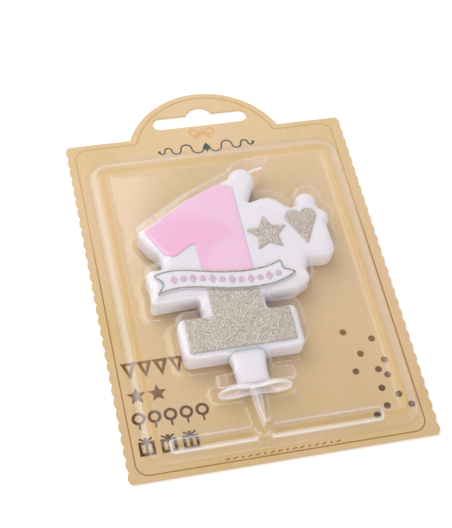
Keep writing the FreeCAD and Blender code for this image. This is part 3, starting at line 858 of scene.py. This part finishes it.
flange_line = box_line(sheet_low[:2], sheet_high[:2], RIDGE_CORNER + FLANGE, 1.0 * MM)
guides = [box_line(sheet_low[:2] + inset, sheet_high[:2] - inset,
                   RIDGE_CORNER + FLANGE - inset, 0.8 * MM)
          for inset in np.concatenate([FLANGE + np.linspace(0, 2 * SLOPE, 6),
                                       FLANGE + RIDGE_WIDTH - np.linspace(0, 2 * SLOPE, 6)])]
guides += [box_line(RIB_MIDDLE - RIB_HALF + inset, RIB_MIDDLE + RIB_HALF - inset,
                    RIB_CORNER - inset, 0.5 * MM)
           for inset in np.linspace(-0.3, 1.0, 7) * MM]
print(len(guides), "guide lines along the low forms")

# %% [markdown]
# Where the film is pulled round a corner or down to its foot it thins, creases and clouds.
# Each point of the pocket's wall keeps a number for that, its bend and glint, which the clear
# finish turns into white haze: partly clouding, partly painted glints along the folds, rim
# and corners.

# %% Folds and corners
PLEAT_COUNT = 9
PLEAT_WIDTH = 0.35 * MM


def pleats(outline, seed):
    """Narrow folds along the stretches that face the card's bottom: a sum of bells along the
    outline, each at a random place and of a random height up to 1."""
    rng = np.random.default_rng(seed)
    step = line_length(outline) / len(outline)
    below = np.flatnonzero(outward(outline)[:, 1] < -0.6)
    apart = np.arange(len(outline))[None] - rng.choice(below, PLEAT_COUNT)[:, None]
    apart = (apart + len(outline) / 2) % len(outline) - len(outline) / 2
    height = rng.uniform(0.3, 1, (PLEAT_COUNT, 1))
    bells = height * np.exp(-(apart * step / PLEAT_WIDTH) ** 2)
    return np.minimum(bells.sum(axis=0), 1)


def corners(outline):
    """0 to 1 for how tightly a closed line turns, between a radius of 3 mm and of 1 mm."""
    return np.clip((turning(outline) * MM - 1 / 3) / (2 / 3), 0, 1)


# %% Wall of the pocket
POCKET_RIM = 1.1 * MM
POCKET_DRAFT = 0.25 * MM
POCKET_FOOT = 0.6 * MM
PLEAT = 0.2 * MM


def pocket_rings(outline):
    """Rings of the pocket's wall from the roof down: a rounded rim, a wall that leans out by
    its draft, and a foot that curls out to meet the sheet at the sheet's own height. Folds
    push the foot out. The second array is each point's bend and glint: a share for its ring,
    and more where a fold or a tight corner passes, which paints glints there as white haze."""
    rim = quarter_round(POCKET_RIM, roof_level, 6)
    turn = np.linspace(0, np.pi / 2, 6)
    foot_out = POCKET_DRAFT + POCKET_FOOT * (1 - np.cos(turn))
    foot_level = POCKET_FOOT * (1 - np.sin(turn))
    wall = swept(outline, rim)
    foot = swept(outline, np.stack([foot_out, foot_level], axis=1))
    floor = sheet_height(foot[-1, :, :2])
    foot[:, :, 2] += floor[None]
    fold = pleats(outline, 8)
    foot[:-1, :, :2] += PLEAT * (fold[:, None] * outward(outline))[None]
    # Bend and glint of each ring; the fold and corner shares paint glints as white haze.
    bend_and_glint = np.array([0.0, 0.2, 0.4, 0.4, 0.2, 0.0, 0.0, 0.0, 0.0, 0.1, 0.1, 0.0])
    fold_glint = np.array([0.0, 0.0, 0.0, 0.0, 0.0, 0.0, 0.6, 0.9, 1.2, 1.2, 0.8, 0.1])
    corner_glint = np.array([0.2, 0.6, 0.9, 0.7, 0.3, 0.1, 0.2, 0.6, 1.2, 1.6, 1.2, 0.3])
    marks = bend_and_glint[:, None] + fold_glint[:, None] * fold + corner_glint[:, None] * corners(outline)
    return np.concatenate([wall, foot]), marks.ravel()


pocket_outline = evened(roof_loops[0], 0.3 * MM, soften=0.9 * MM)
pocket, pocket_bend_and_glint = pocket_rings(pocket_outline)
print("pocket", round(line_length(pocket_outline) / MM, 1), "mm round")

# %% The film
hole = pocket[-1, ::-1, :2]
flat, flat_triangles = filled([flange_line, hole], 2.2 * MM, 5, np.concatenate(guides), 0.1)
roof, roof_triangles = filled([pocket[0, :, :2]], 2.0 * MM, 6)
film = add_piece("blister_film", [
    (pocket, grid_faces(len(pocket), len(pocket_outline))),
    (raised(flat, sheet_height(flat)), flat_triangles),
    (raised(roof, roof_level), roof_triangles)], film_clear, "blister", weld=5e-7,
    marks={"bend_and_glint": [pocket_bend_and_glint, sheet_bend_and_glint(flat), np.zeros(len(roof))],
           "band": [np.zeros(len(pocket_bend_and_glint)), sheet_band(flat), np.zeros(len(roof))]})
thick = film.modifiers.new("film_thickness", "SOLIDIFY")
thick.thickness = FILM
thick.offset = -1.0
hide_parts("blister_sheet", "blister_pocket_wall", "blister_pocket_roof")

# %% [markdown]
# ## The pick
# The pick stands under the neck on the candle's own axis. Its collar is a shallow oval dish
# that turns drips away: a surface of (radius, turn) whose height falls with the cube of the
# radius to a round lip, drawn in to a waist at the spike. Its spike has four ribs and
# narrows to the tip.

# %% Collar of the pick
COLLAR_HALF = np.array([10.9, 3.8]) * MM
COLLAR_TOP = -43.7 * MM
COLLAR_WALL = 0.7 * MM
COLLAR_LIP = 2.5 * MM
COLLAR_WAIST = 0.42


def oval_dish(steps=96, rows=14):
    """Dish: its top runs out to the lip, turns round it, and comes back in below. It keeps a
    pinhole at its middle, above and below, and these faces point into the plastic. Its edge is
    a superellipse, |cos| to the 0.8 by |sin| to the 0.7, with a bell for the waist."""
    out = np.linspace(0.02, 1, rows)
    drop = COLLAR_LIP * out ** 3
    over = np.linspace(0, np.pi, 6)[1:-1]
    share = np.concatenate([out, 1 + 0.03 * np.sin(over), out[::-1]])
    level = np.concatenate([-drop, -COLLAR_LIP + COLLAR_WALL / 2 * (np.cos(over) - 1),
                            -drop[::-1] - COLLAR_WALL])
    turn = np.linspace(0, 2 * np.pi, steps, endpoint=False)
    c, s = np.cos(turn), np.sin(turn)
    waist = 1 - COLLAR_WAIST * np.exp(-(c * 2.6) ** 2)
    x = neck_middle + COLLAR_HALF[0] * share[:, None] * np.sign(c) * np.abs(c) ** 0.8
    z = wax_middle + COLLAR_HALF[1] * share[:, None] * np.sign(s) * np.abs(s) ** 0.7 * waist
    y = np.broadcast_to(COLLAR_TOP + level[:, None], x.shape)
    bend_and_glint = np.concatenate([out ** 8, np.ones(4), out[::-1] ** 8])
    points = np.stack([x, y, z], axis=-1)
    return points, grid_faces(len(points), steps), np.repeat(bend_and_glint, steps)


dish, dish_faces, dish_bend = oval_dish()
print("collar", round(np.ptp(dish[:, :, 0]) / MM, 1), "mm long")


# %% Spike of the pick
SPIKE_TOP = 1.9 * MM
SPIKE_END = 0.6 * MM
SPIKE_CAP = 0.2 * MM


def ribbed_spike(rows=18, steps=48):
    """Four-ribbed spike, with a pinhole left at each end: its radius at a turn is the rib's
    half width where a rib points, and three fifths of it between ribs."""
    turn = np.linspace(0, 2 * np.pi, steps, endpoint=False)
    rib = np.abs(np.cos(2 * turn)) ** 4
    along = np.linspace(0, 1, rows)
    half = SPIKE_TOP + (SPIKE_END - SPIKE_TOP) * along ** 1.6
    radius = half[:, None] * (0.6 + 0.4 * rib)
    top, tip = COLLAR_TOP - COLLAR_WALL / 2, pick_low[1] + SPIKE_CAP
    y = top + (tip - top) * along
    radius = np.concatenate([radius[:1] * PINCH, radius, radius[-1:] * 0.5, radius[-1:] * PINCH])
    y = np.concatenate([y[:1], y, [tip - 0.75 * SPIKE_CAP, tip - SPIKE_CAP]])
    x = neck_middle + radius * np.cos(turn)
    z = wax_middle + radius * np.sin(turn)
    points = np.stack([x, np.broadcast_to(y[:, None], x.shape), z], axis=-1)
    bend_and_glint = np.broadcast_to(0.3 * rib, x.shape).ravel()
    return points, grid_faces(len(points), steps)[:, ::-1], bend_and_glint


spike, spike_faces, spike_bend = ribbed_spike()
pick = add_piece("clear_pick", [(dish, dish_faces), (spike, spike_faces)], pick_clear, "candle",
                 marks={"bend_and_glint": [dish_bend, spike_bend]})
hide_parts("candle_pick")

# %% [markdown]
# ## The wick
# The wick is braided cotton, stiff with wax, and bent over by the film. Its tube follows a
# smooth bend, and the braid is a relief of two helices that cross.

# %% Cotton
def cotton():
    """Pale cotton whose fine noise runs along the wick."""
    f = Finish("wick_cotton")
    twist = f.noise(2500.0, 2.0, stretch=(0.5, 1.0, 1.0))
    f.link(f.ramp(twist, [(0.3, linear(228, 216, 206)), (0.7, linear(248, 240, 236))]),
           "Base Color")
    f.set(Roughness=0.8, Sheen_Weight=0.3)
    f.bump(twist, 0.00006)
    return f.material


wick_cotton = cotton()
print("cotton finished")


# %% Wick
WICK_RADIUS = 0.52 * MM
BRAID_STEP = 1.1 * MM


def pinched(ring):
    """A ring drawn in almost to its middle, which ends a tube but for a pinhole."""
    middle = ring.mean(axis=1, keepdims=True)
    return middle + PINCH * (ring - middle)


def braided_tube(path, radius, steps=20):
    """Tube round a flat path (x, y) at the wax's middle, with a pinhole left at each end. The
    radius swells by a tenth where either of two crossing helices passes: cos(3 turn - k s) and
    cos(3 turn + k s). The rings turn the other way round the path from those of a wall, so
    these faces point into the tube."""
    ahead = np.gradient(path, axis=0)
    ahead /= np.linalg.norm(ahead, axis=1)[:, None]
    along = np.r_[0, np.cumsum(np.linalg.norm(np.diff(path, axis=0), axis=1))]
    turn = np.linspace(0, 2 * np.pi, steps, endpoint=False)
    wave = 2 * np.pi * along[:, None] / BRAID_STEP
    braid = np.maximum(np.cos(3 * turn - wave), np.cos(3 * turn + wave))
    size = radius * (0.95 + 0.09 * braid)
    side = np.stack([-ahead[:, 1], ahead[:, 0]], axis=1)
    flat = path[:, None] + side[:, None] * (size * np.cos(turn))[:, :, None]
    level = wax_middle + size * np.sin(turn)
    rings = np.concatenate([flat, level[:, :, None]], axis=2)
    rings = np.concatenate([pinched(rings[:1]), rings, pinched(rings[-1:])])
    return rings, grid_faces(len(rings), steps)


def bent_over(root, corner, tip, count=60):
    """Points along the curve of second degree from a root to a tip, drawn to a corner."""
    share = np.linspace(0, 1, count)[:, None]
    return (1 - share) ** 2 * root + 2 * share * (1 - share) * corner + share ** 2 * tip


wick_low, wick_high = (np.array(v)[:2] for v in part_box("wick"))
wick_root = wick_low + np.array([0.1, 0.1]) * MM
wick_corner = np.array([wick_root[0] + 2.2 * MM, wick_high[1] - 0.65 * MM])
wick_tip = np.array([wick_high[0] - 0.1 * MM, wick_high[1] - 0.55 * MM])
wick_line = bent_over(wick_root, wick_corner, wick_tip)
wick = add_piece("braided_wick", [braided_tube(wick_line, WICK_RADIUS)], wick_cotton, "candle")
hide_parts("wick")

# %% [markdown]
# ## Floor and light
# The pack lies on a plain white table in soft light. A large panel above its upper left gives
# most of the light, a lower one in front lights the walls that face the viewer, and an even
# white surround fills the shadows.

# %% Floor
def add_floor(half):
    """A square white table top, from -half to half both ways, at level 0."""
    f = Finish("white_table")
    f.set(Base_Color=(0.97, 0.97, 0.97, 1.0), Roughness=0.7)
    mesh = bpy.data.meshes.new("table_top")
    mesh.from_pydata([(-half, -half, 0), (half, -half, 0), (half, half, 0), (-half, half, 0)],
                     [], [(0, 1, 2, 3)])
    mesh.materials.append(f.material)
    floor = bpy.data.objects.new("table_top", mesh)
    bpy.context.collection.objects.link(floor)


add_floor(1.5)
print("floor laid")


# %% Light
def add_panel(name, place, size, power):
    """A light panel that faces the middle of the pack: its back points away from it."""
    light = bpy.data.lights.new(name, "AREA")
    light.shape = "RECTANGLE"
    light.size, light.size_y = size
    light.energy = power
    panel = bpy.data.objects.new(name, light)
    place = np.array(place)
    back = place / np.linalg.norm(place)
    right = np.cross((0, 1, 0), back)
    right /= np.linalg.norm(right)
    up = np.cross(back, right)
    turn = Matrix((right, up, back)).transposed().to_4x4()
    panel.matrix_world = Matrix.Translation(place) @ turn
    bpy.context.collection.objects.link(panel)


add_panel("panel_over_left", (-0.25, 0.4, 0.55), (0.7, 0.7), 3.7)
add_panel("panel_front", (-0.15, -0.8, 0.5), (0.8, 0.5), 3.6)
world = bpy.data.worlds.new("studio")
world.use_nodes = True
surround = world.node_tree.nodes["Background"].inputs
surround["Color"].default_value = (1.0, 0.99, 0.985, 1.0)
surround["Strength"].default_value = 0.63
bpy.context.scene.world = world
bpy.context.scene.view_settings.view_transform = "Standard"
bpy.context.scene.cycles.transparent_max_bounces = 24
print("studio ready")
